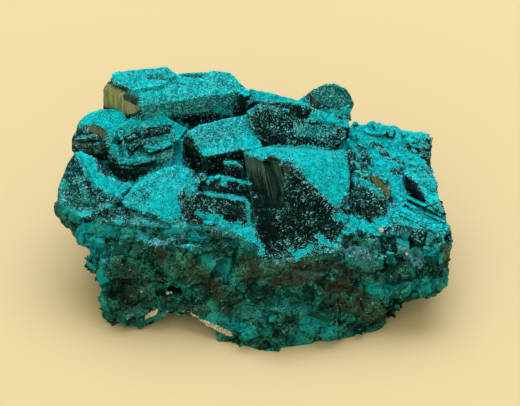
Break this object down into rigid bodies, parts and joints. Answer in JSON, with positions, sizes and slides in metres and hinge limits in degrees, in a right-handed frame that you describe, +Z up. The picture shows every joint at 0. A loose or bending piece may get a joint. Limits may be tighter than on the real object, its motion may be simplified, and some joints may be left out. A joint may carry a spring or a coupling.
{
  "type": "dioptase mineral specimen",
  "caption": "Hand specimen of dark green dioptase: stout intergrown crystals with powdery turquoise tops over a rough broken base, flat underneath.",
  "frame": {"origin": "middle of the outline on the flat break that the specimen rests on", "axes": "+X to the right along the longest side, +Y to the back, +Z up out of the flat break"},
  "size_m": [0.0552, 0.0354, 0.0258],
  "materials": {
    "dioptase": "dark green vitreous crystal faces with a matt turquoise powder crust on the faces that look up"
  },
  "bodies": {
    "root": {"dioptase": "dioptase"}
  },
  "joints": []
}
